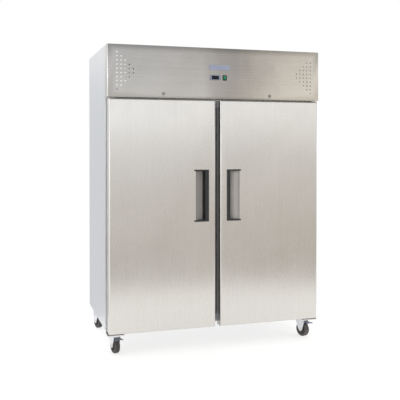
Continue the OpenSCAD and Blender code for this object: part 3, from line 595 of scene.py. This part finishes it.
def make_floor():
    bm = bmesh.new()
    bmesh.ops.create_circle(bm, cap_ends=True, segments=96, radius=1)
    for v in bm.verts:
        v.co.x = v.co.x * FLOOR_SIZE[0] + FLOOR_MIDDLE[0]
        v.co.y = v.co.y * FLOOR_SIZE[1] + FLOOR_MIDDLE[1]
    mat, tree, shader = new_material("studio_floor")
    cloud = noise(tree, coordinates(tree), 3.0, 3.0)
    tone = mix_colors(tree, cloud, (0.33, 0.33, 0.33), (0.36, 0.36, 0.355))
    tree.links.new(tone, shader.inputs["Base Color"])
    shader.inputs["Roughness"].default_value = 0.8
    shader.inputs["Specular IOR Level"].default_value = 0.1
    shader.inputs["Emission Color"].default_value = (1, 0.995, 0.985, 1)
    shader.inputs["Emission Strength"].default_value = 0.68
    MATERIALS["studio_floor"] = mat
    floor = from_bmesh("studio_floor", bm, "studio_floor")


make_camera()
make_world()
make_floor()
scene = bpy.context.scene
scene.view_settings.view_transform = "Standard"
area_light("key", (-2.6, -3.2, 3.6), (0, 0, 0.6), (2.6, 2.0), 60)
area_light("fill", (3.4, -2.4, 2.8), (0, 0, 0.8), (2.4, 2.4), 45)
area_light("rear", (-1.5, 3.8, 3.0), (0, 0, 0.8), (3.0, 2.0), 50)
area_light("top", (0.3, 0.2, 4.6), (0, 0, 0), (3.4, 3.4), 70)


# ---------------------------------------------------------------- CAD nodes that keep their shape

SOFTENED = {
    "front_frame": 0.5, "centre_mullion": 1.0, "left_side_panel": 0.4, "right_side_panel": 0.4,
    "left_handle": 1.2, "right_handle": 1.2, "hinge_brackets": 0.7, "control_box": 1.0,
    "evaporator_cover": 0.6, "condensate_drain": 0.5, "controller_case": 0.6, "switch_bezel": 0.7,
    "name_badge": 0.5, "power_rocker": 0.6, "left_key": 0.4, "right_key": 0.4, "castor_plates": 0.5,
    "castor_fork_front_left": 0.6, "castor_fork_front_right": 0.6, "castor_fork_rear_left": 0.6,
    "castor_fork_rear_right": 0.6, "brake_pedal_left": 0.9, "brake_pedal_right": 0.9,
    "left_lock": 0.4, "right_lock": 0.4, "compressor": 1.0, "fan_motors": 0.8, "interior_lamp": 0.8,
    "left_door_foam": 4.5, "right_door_foam": 4.5, "left_door_liner": 1.0, "right_door_liner": 1.0,
    "cable_gland": 0.5, "fan_shroud": 0.5, "shelf_runners": 0.3,
}
for node_name, node in nodes.items():
    chosen = SPECIAL_MATERIAL.get(node_name, SLOT_MATERIAL[node_name])
    node.data.materials.clear()
    node.data.materials.append(MATERIALS[chosen])
    if node_name in SOFTENED:
        soften(node, SOFTENED[node_name] * MM)


# ---------------------------------------------------------------- lathes, tubes and coils

def add_lathe(bm, profile, matrix, sides=48):
    """Turns a list of (radius, height) points about Z and places it by a matrix."""
    rings = []
    for radius, height in profile:
        if radius < 1e-7:
            rings.append([bm.verts.new(matrix @ Vector((0, 0, height)))])
            continue
        rings.append([bm.verts.new(matrix @ Vector((radius * math.cos(2 * math.pi * i / sides),
                                                    radius * math.sin(2 * math.pi * i / sides), height)))
                      for i in range(sides)])
    for first, second in zip(rings, rings[1:]):
        for i in range(sides):
            j = (i + 1) % sides
            corners = [ring[k % len(ring)] for ring, k in ((first, i), (first, j), (second, j), (second, i))]
            corners = list(dict.fromkeys(corners))
            if len(corners) > 2:
                bm.faces.new(corners)


def add_tube(bm, path, radius, sides=12):
    """Sweeps a circle along a path and caps its ends."""
    rings = []
    side = None
    for i, point in enumerate(path):
        along = (path[min(i + 1, len(path) - 1)] - path[max(i - 1, 0)]).normalized()
        if side is None:
            side = along.orthogonal().normalized()
        side = (side - along * side.dot(along)).normalized()
        other = along.cross(side)
        rings.append([bm.verts.new(point + (side * math.cos(2 * math.pi * k / sides)
                                            + other * math.sin(2 * math.pi * k / sides)) * radius)
                      for k in range(sides)])
    for first, second in zip(rings, rings[1:]):
        for k in range(sides):
            m = (k + 1) % sides
            bm.faces.new((first[k], first[m], second[m], second[k]))
    bm.faces.new(rings[0])
    bm.faces.new(list(reversed(rings[-1])))


def axis_matrix(centre, axis):
    """A matrix that carries +Z to an axis and the origin to a centre."""
    return Matrix.Translation(Vector(centre)) @ Vector(axis).to_track_quat("Z", "Y").to_matrix().to_4x4()


def finned_coil(name, node, fin_low, fin_high, pitch, tube_rows, tube_radius, bend_gap, plates):
    """A stack of fins on copper hairpins, with a plate at each end."""
    bm = bmesh.new()
    count = int((fin_high.x - fin_low.x) / pitch)
    for i in range(count + 1):
        x = fin_low.x + (fin_high.x - fin_low.x) * i / count
        add_box(bm, (x - 0.15 * MM, fin_low.y, fin_low.z), (x + 0.15 * MM, fin_high.y, fin_high.z))
    for low, high in plates:
        add_box(bm, low, high)
    piece = from_bmesh(name + "_fins", bm, "aluminium_fins", smooth=False)
    place(piece, "cabinet", "aluminium_fins", node)
    bm = bmesh.new()
    x0, x1, bend = fin_low.x - 14 * MM, fin_high.x + 14 * MM, bend_gap / 2
    for y, z in tube_rows:
        for run_z in (z, z + bend_gap):
            add_tube(bm, [Vector((x0, y, run_z)), Vector((x1, y, run_z))], tube_radius, 10)
        for sign, x in ((-1, x0), (1, x1)):
            arc = [Vector((x + sign * math.sin(a) * bend, y, z + bend - math.cos(a) * bend))
                   for a in (math.pi * k / 10 for k in range(11))]
            add_tube(bm, arc, tube_radius, 10)
    tubes = from_bmesh(name + "_hairpins", bm, "copper")
    place(tubes, "cabinet", "copper")


def machine_coils():
    """The condenser on the deck and the evaporator under the ceiling."""
    low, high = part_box("condenser_coil")
    deck = low.z
    fin_low = Vector((low.x + 30 * MM, low.y + 4 * MM, deck + 11.8 * MM))
    fin_high = Vector((high.x - 30 * MM, high.y, high.z - 6 * MM))
    rows = [(fin_low.y + y * MM, fin_low.z + (22 + 46 * z) * MM) for y in (16, 33, 50) for z in range(5)]
    plates = [((x - 1 * MM, low.y, deck), (x + 1 * MM, high.y, high.z))
              for x in (fin_low.x - 6 * MM, fin_high.x + 6 * MM)]
    finned_coil("condenser", "condenser_coil", fin_low, fin_high, 4 * MM, rows, 4.5 * MM, 23 * MM, plates)
    low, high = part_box("evaporator_coil")
    fin_low = Vector((low.x + 29 * MM, low.y + 8 * MM, low.z + 6 * MM))
    fin_high = Vector((high.x - 29 * MM, high.y - 8 * MM, high.z - 8 * MM))
    rows = [(fin_low.y + y * MM, fin_low.z + z * MM) for y in (20, 60, 100) for z in (20, 60)]
    plates = [((x - 1 * MM, low.y, low.z), (x + 1 * MM, high.y, high.z))
              for x in (fin_low.x - 6 * MM, fin_high.x + 6 * MM)]
    finned_coil("evaporator", "evaporator_coil", fin_low, fin_high, 6 * MM, rows, 5 * MM, 20 * MM, plates)


# ---------------------------------------------------------------- fans

def fan(side_name, body, node, joint, hub_radius, blades):
    """A moulded axial fan with twisted, swept blades."""
    low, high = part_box(node)
    centre = Vector(joints[joint]["pos_m"])
    centre.y = (low.y + high.y) / 2
    depth = high.y - low.y
    radius = (high.z - low.z) / 2 - 1 * MM
    matrix = axis_matrix(centre, (0, 1, 0))
    bm = bmesh.new()
    half = depth / 2
    hub = [(0, -half), (hub_radius * 0.8, -half), (hub_radius, -half + 3 * MM), (hub_radius, half),
           (hub_radius - 2 * MM, half), (hub_radius - 2 * MM, -half + 4 * MM), (0, -half + 4 * MM)]
    add_lathe(bm, hub, matrix, 40)
    radial, chord = 8, 7
    thickness = 0.9 * MM
    for blade in range(blades):
        layers = []
        for offset in (-thickness, thickness):
            grid = []
            for i in range(radial + 1):
                r = hub_radius - 1 * MM + (radius - hub_radius + 1 * MM) * i / radial
                share = (r - hub_radius) / (radius - hub_radius)
                span = math.radians(46 + 10 * share)
                middle = 2 * math.pi * blade / blades + math.radians(16) * share ** 2
                lift = half * (0.86 - 0.4 * share)
                grid.append([])
                for j in range(chord + 1):
                    t = j / chord - 0.5
                    a = middle + span * t
                    z = -lift * 2 * t + 0.1 * half * math.cos(math.pi * t) + offset
                    grid[-1].append(bm.verts.new(matrix @ Vector((r * math.cos(a), r * math.sin(a), z))))
            layers.append(grid)
        for grid in layers:
            for i in range(radial):
                for j in range(chord):
                    bm.faces.new((grid[i][j], grid[i][j + 1], grid[i + 1][j + 1], grid[i + 1][j]))
        first, second = layers
        for i in range(radial):
            for j in (0, chord):
                bm.faces.new((first[i][j], first[i + 1][j], second[i + 1][j], second[i][j]))
        for j in range(chord):
            for i in (0, radial):
                bm.faces.new((first[i][j], first[i][j + 1], second[i][j + 1], second[i][j]))
    piece = from_bmesh(side_name, bm, "black_plastic")
    sharpen(piece, 40)
    place(piece, body, "black_plastic", node)


# ---------------------------------------------------------------- castor wheels

def castor_wheel(corner):
    """A rubber tyre with two tread grooves, on a moulded wheel with ribs and a bearing boss."""
    joint = joints["roll_" + corner]
    centre = Vector(joint["pos_m"])
    matrix = axis_matrix(centre, joint["axis"])
    radius, half, rim = centre.z, 17 * MM, 34 * MM
    edge = 7 * MM
    arc = [(radius - edge + edge * math.cos(a), half - edge + edge * math.sin(a))
           for a in (math.pi / 2 * k / 6 for k in range(7))]
    groove = [(0, 4.6), (-1, 4.2), (-1, 3.2), (0, 2.8)]
    grooves = [(radius + d * MM, h * MM) for d, h in groove]
    side = list(reversed(arc)) + grooves
    outline = [(rim, half - 1 * MM), (rim + 1 * MM, half)] + side
    tyre = bmesh.new()
    add_lathe(tyre, outline + [(r, -h) for r, h in reversed(outline)] + [outline[0]], matrix, 72)
    piece = from_bmesh("tyre_" + corner, tyre, "wheel_grey")
    sharpen(piece, 50)
    place(piece, "wheel_" + corner, "wheel_grey", "castor_wheel_" + corner)
    hub = bmesh.new()
    outline = [(6.2, 19.6), (12.5, 19.6), (14, 18), (15, 11), (17, 9), (28, 9), (31, 10), (33.8, 15),
               (33.8, 0)]
    outline = [(r * MM, h * MM) for r, h in outline]
    outline = outline + [(r, -h) for r, h in reversed(outline[:-1])] + [outline[0]]
    add_lathe(hub, outline, matrix, 48)
    piece = from_bmesh("wheel_hub_" + corner, hub, "wheel_grey")
    ribs = bmesh.new()
    for k in range(6):
        turn = matrix @ Matrix.Rotation(2 * math.pi * k / 6, 4, "Z")
        rib = add_box(ribs, (14.5 * MM, -1.4 * MM, -13 * MM), (32.5 * MM, 1.4 * MM, 13 * MM))
        for v in rib:
            v.co = turn @ v.co
    join(piece, ribs)
    sharpen(piece, 40)
    place(piece, "wheel_" + corner, "wheel_grey")


def brake_pedal(side):
    """A pressed pedal with a swallow tail, curved down towards its tip."""
    joint = joints["pedal_" + side + "_lift"]
    pivot = Vector(joint["pos_m"])
    across = Vector(joint["axis"])
    if across.x < 0:
        across = -across
    out = across.cross(Vector((0, 0, 1)))
    out = out if out.y < 0 else -out
    frame_matrix = Matrix.Translation(pivot) @ Matrix((across, -out, (0, 0, 1))).transposed().to_4x4()
    tail = [(-16, 3), (-16, -16), (-20, -26), (-29, -45), (-26, -46.5), (-9, -40), (0, -37),
            (9, -40), (26, -46.5), (29, -45), (20, -26), (16, -16), (16, 3)]
    bm = bmesh.new()
    add_prism(bm, [(x * MM, y * MM) for x, y in tail], -4.2 * MM, 0.6 * MM)
    bmesh.ops.recalc_face_normals(bm, faces=bm.faces)
    bevel_edges(bm, bm.edges, 1.1 * MM, 3)
    bmesh.ops.triangulate(bm, faces=[f for f in bm.faces if len(f.verts) > 4])
    bmesh.ops.subdivide_edges(bm, edges=[e for e in bm.edges if e.calc_length() > 9 * MM], cuts=2)
    for v in bm.verts:
        lowered = max(0.0, -v.co.y - 12 * MM)
        v.co.z += 3.4 * MM - lowered * lowered * 4.2
        v.co = frame_matrix @ v.co
    piece = from_bmesh("pedal_" + side, bm, "pedal_grey")
    barrel = bmesh.new()
    outline = [(0, -20), (4, -20), (4.5, -19.5), (4.5, 19.5), (4, 20), (0, 20)]
    add_lathe(barrel, [(r * MM, h * MM) for r, h in outline], axis_matrix(pivot, joint["axis"]), 32)
    join(piece, barrel)
    sharpen(piece, 40)
    place(piece, "pedal_" + side, "pedal_grey", "brake_pedal_" + side)


# ---------------------------------------------------------------- doors

def door_skin(side, sign):
    """A folded door skin: rounded at its front edges, hollow, with the openings it needs."""
    low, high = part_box(side + "_door_skin")
    handle_low, handle_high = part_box(side + "_handle")
    lock_low, lock_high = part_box(side + "_lock")
    liner_low, liner_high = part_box(side + "_door_liner")
    sheet, rounding = 1.2 * MM, 8.5 * MM
    bm = bmesh.new()
    verts = add_box(bm, low, high)
    bevel_edges(bm, box_edges(verts, lambda p: p.y < low.y + sheet), rounding, 8)
    piece = from_bmesh(side + "_door_skin_shell", bm, "door_steel")
    inner = bmesh.new()
    verts = add_box(inner, (low.x + sheet, low.y + sheet, low.z + sheet),
                    (high.x - sheet, high.y - sheet, high.z - sheet))
    bevel_edges(inner, box_edges(verts, lambda p: p.y < low.y + 2 * sheet), rounding - sheet, 8)
    cut(piece, inner)
    openings = bmesh.new()
    gap = 0.3 * MM
    add_box(openings, (liner_low.x - gap, high.y - 10 * MM, liner_low.z - gap),
            (liner_high.x + gap, high.y + 10 * MM, liner_high.z + gap))
    grip_margin, ramp_margin = 2 * MM, 10 * MM
    left_margin, right_margin = (grip_margin, ramp_margin) if sign > 0 else (ramp_margin, grip_margin)
    add_box(openings, (handle_low.x + left_margin, low.y - 10 * MM, handle_low.z + 2 * MM),
            (handle_high.x - right_margin, low.y + 30 * MM, handle_high.z - 2 * MM))
    lock_x = (lock_low.x + 11.5 * MM) if sign > 0 else (lock_high.x - 11.5 * MM)
    slot_x = sorted((lock_x - sign * 8 * MM, lock_x + sign * 30 * MM))
    add_box(openings, (slot_x[0], lock_high.y - 7 * MM, high.z - 16 * MM),
            (slot_x[1], lock_high.y + 4 * MM, high.z + 10 * MM))
    pivot = Vector(joints[side + "_door_hinge"]["pos_m"])
    for z in (low.z, high.z):
        add_cylinder(openings, (pivot.x, pivot.y, z - 4 * MM), (pivot.x, pivot.y, z + 4 * MM), 5.05 * MM)
    cut(piece, openings)
    # the folded side at the free edge gets a darker, smoother steel: painted shade of the narrow gap between the
    # doors
    piece.data.materials.append(MATERIALS["door_edge_steel"])
    free = low.x if sign > 0 else high.x
    for face in piece.data.polygons:
        if abs(face.center.x - free) < 0.1 * MM and face.center.y > low.y + 5 * MM:
            face.material_index = 1
    sharpen(piece)
    place(piece, side + "_door", "door_steel", side + "_door_skin")


def door_handle(side, sign):
    """A moulded bracket: a rounded grip bar with an arm above and below, on a box let into the door."""
    low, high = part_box(side + "_handle")
    proud = 4.7 * MM
    grip, arm = 24 * MM, 10 * MM
    face = low.y + 5 * MM

    def along(x):
        """Distance from the grip's free edge, as X."""
        return low.x + x if sign > 0 else high.x - x

    def span(bm, x0, x1, y0, y1, z0, z1):
        a, b = sorted((along(x0), along(x1)))
        return add_box(bm, (a, y0, z0), (b, y1, z1))

    width = high.x - low.x
    bm = bmesh.new()
    verts = span(bm, 0, grip, low.y, face + 5 * MM, low.z, high.z)
    bevel_edges(bm, box_edges(verts, lambda p: p.y < face or abs(p.y - face) < 3 * MM
                              and abs(p.x - along(0)) < 1 * MM), 2.4 * MM, 5)
    piece = from_bmesh(side + "_handle_bracket", bm, "handle_black")
    for z0 in (low.z, high.z - arm):
        bar = bmesh.new()
        verts = span(bar, 4 * MM, width, low.y, low.y + proud, z0, z0 + arm)
        tip = along(width)
        bevel_edges(bar, box_edges(verts, lambda p: abs(p.x - tip) < 1e-6 and p.y < low.y + proud - 1e-6
                                   and p.y > low.y + 1e-6), 3.6 * MM, 6)
        rim = [e for e in bar.edges if all(v.co.y < low.y + 1e-6 for v in e.verts)]
        bevel_edges(bar, rim, 0.9 * MM, 3)
        join(piece, bar)
    box = bmesh.new()
    inset, pocket = 2.3 * MM, 10.3 * MM
    span(box, inset, width - pocket, face - 1 * MM, high.y, low.z + inset, high.z - inset)
    join(piece, box)
    hollow = bmesh.new()
    span(hollow, grip, width + 5 * MM, low.y - 5 * MM, face + 10 * MM, low.z + arm, high.z - arm)
    cut(piece, hollow)
    hollow = bmesh.new()
    span(hollow, 8 * MM, width + 5 * MM, face + 5 * MM, high.y - 3 * MM, low.z + arm, high.z - arm)
    cut(piece, hollow)
    sharpen(piece, 50)
    place(piece, side + "_door", "handle_black", side + "_handle")

    # the steel ramp, almost straight, with a soft lip where it meets the door
    sheet, deep, run = 1.2 * MM, 38 * MM, width - 10 * MM - grip - 10 * MM
    start = width - 10.5 * MM
    steps = 24
    outline = []
    for lift in (0, sheet):
        for i in range(steps + 1):
            t = i / steps if lift == 0 else 1 - i / steps
            slope = t - 0.25 * math.sin(2 * math.pi * t) / (2 * math.pi)
            outline.append((along(start - t * run), face + 0.5 * MM + deep * slope + lift))
    bm = bmesh.new()
    add_prism(bm, outline, low.z + 11 * MM, high.z - 11 * MM)
    ramp = from_bmesh(side + "_handle_ramp", bm, "pocket_steel")
    sharpen(ramp)
    place(ramp, side + "_door", "door_steel", side + "_handle_pocket")


def door_seal(side):
    """A bellows seal round the door, swept round a rectangle."""
    low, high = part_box(side + "_door_gasket")
    depth = high.y - low.y
    width = 20 * MM
    outline = [(0, 0), (0, 0.3), (0.12, 0.36), (0.12, 0.46), (0, 0.52), (0, 0.78), (0.1, 0.92), (0.3, 1),
               (0.7, 1), (0.9, 0.92), (1, 0.78), (1, 0.52), (0.88, 0.46), (0.88, 0.36), (1, 0.3), (1, 0)]
    corners = [(low.x, low.z, 1, 1), (high.x, low.z, -1, 1), (high.x, high.z, -1, -1), (low.x, high.z, 1, -1)]
    bm = bmesh.new()
    rings = []
    for x, z, dx, dz in corners:
        rings.append([bm.verts.new((x + dx * width * a, low.y + depth * b, z + dz * width * a))
                      for a, b in outline])
    for i, ring in enumerate(rings):
        after = rings[(i + 1) % 4]
        for j in range(len(outline)):
            k = (j + 1) % len(outline)
            bm.faces.new((ring[j], ring[k], after[k], after[j]))
    piece = from_bmesh(side + "_door_seal", bm, "seal_grey")
    sharpen(piece, 50)
    place(piece, side + "_door", "seal_grey", side + "_door_gasket")


# ---------------------------------------------------------------- header panel

def header_panel():
    """The folded panel over the cooling unit, with round corners, vents, cut-outs and lock slots."""
    low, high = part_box("fascia_panel")
    face = low.y
    sheet, corner_radius, fold = 1.5 * MM, 8 * MM, 2.5 * MM
    bm = bmesh.new()
    add_prism(bm, rounded_front(low, high, corner_radius, 0, 8), low.z, high.z)
    bmesh.ops.recalc_face_normals(bm, faces=bm.faces)
    folds = [e for e in bm.edges if abs(e.verts[0].co.z - e.verts[1].co.z) < 1e-6
             and min(v.co.y for v in e.verts) < high.y - 1 * MM]
    bevel_edges(bm, folds, fold, 4)
    piece = from_bmesh("header_shell", bm, "header_steel")
    inner = bmesh.new()
    back = Vector((high.x, high.y + 10 * MM, high.z))
    add_prism(inner, rounded_front(low, back, corner_radius, sheet, 8), low.z + sheet, high.z - sheet)
    cut(piece, inner)
    flanges = bmesh.new()
    add_box(flanges, (low.x + 10 * MM, face + 66 * MM, low.z - 5 * MM),
            (high.x - 10 * MM, high.y + 10 * MM, low.z + 5 * MM))
    add_box(flanges, (low.x + 10 * MM, face + 55 * MM, high.z - 5 * MM),
            (high.x - 10 * MM, high.y + 10 * MM, high.z + 5 * MM))
    cut(piece, flanges)
    holes = bmesh.new()
    pitch, radius = 26.4 * MM, 4 * MM
    x_vent, z_vent = high.x - 64 * MM, low.z + 169 * MM
    for side in (-1, 1):
        for column, rows in enumerate((10, 8, 6, 4, 2)):
            for row in range(rows):
                x = side * (x_vent - column * pitch)
                z = z_vent + (row - (rows - 1) / 2) * pitch
                add_cylinder(holes, (x, face - 5 * MM, z), (x, face + 5 * MM, z), radius, 20)
    for name in ("left_lock", "right_lock"):
        pivot = Vector(joints[name + "_turn"]["pos_m"])
        add_cylinder(holes, (pivot.x, face - 5 * MM, pivot.z), (pivot.x, face + 5 * MM, pivot.z),
                     9.55 * MM, 32)
        lock_low, lock_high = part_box(name)
        x0, x1 = lock_low.x - 0.2 * MM, lock_high.x - 3 * MM
        if pivot.x > 0:
            x0, x1 = lock_low.x + 3 * MM, lock_high.x + 0.2 * MM
        add_box(holes, (x0, lock_high.y - 7 * MM, low.z - 5 * MM), (x1, lock_high.y + 4 * MM, low.z + 5 * MM))
    case_low, case_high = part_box("controller_case")
    add_box(holes, (case_low.x + 2.8 * MM, face - 5 * MM, case_low.z + 3.3 * MM),
            (case_high.x - 2.8 * MM, face + 5 * MM, case_high.z - 3.3 * MM))
    bezel_low, bezel_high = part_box("switch_bezel")
    add_box(holes, (bezel_low.x + 2.3 * MM, face - 5 * MM, bezel_low.z + 2.8 * MM),
            (bezel_high.x - 2.3 * MM, face + 5 * MM, bezel_high.z - 2.8 * MM))
    cut(piece, holes)
    pivot = Vector(joints["header_panel_hinge"]["pos_m"])
    corner = bmesh.new()
    add_box(corner, (low.x - 5 * MM, pivot.y + 4 * MM, high.z - 6 * MM),
            (high.x + 5 * MM, high.y + 5 * MM, high.z + 5 * MM))
    cut(piece, corner)
    sharpen(piece)
    place(piece, "header_panel", "cabinet_steel", "fascia_panel")


for door_side, door_sign in (("left", -1), ("right", 1)):
    door_skin(door_side, door_sign)
    door_seal(door_side)
    door_handle(door_side, door_sign)
    brake_pedal(door_side)
header_panel()
for wheel_corner in ("front_left", "front_right", "rear_left", "rear_right"):
    castor_wheel(wheel_corner)
fan("condenser_fan_blades", "condenser_fan_body", "condenser_fan", "condenser_fan_spin", 30 * MM, 5)
for fan_side in ("left", "right"):
    fan_name = "evaporator_fan_" + fan_side
    fan(fan_name + "_blades", fan_name + "_body", fan_name, fan_name + "_spin", 17 * MM, 5)
machine_coils()
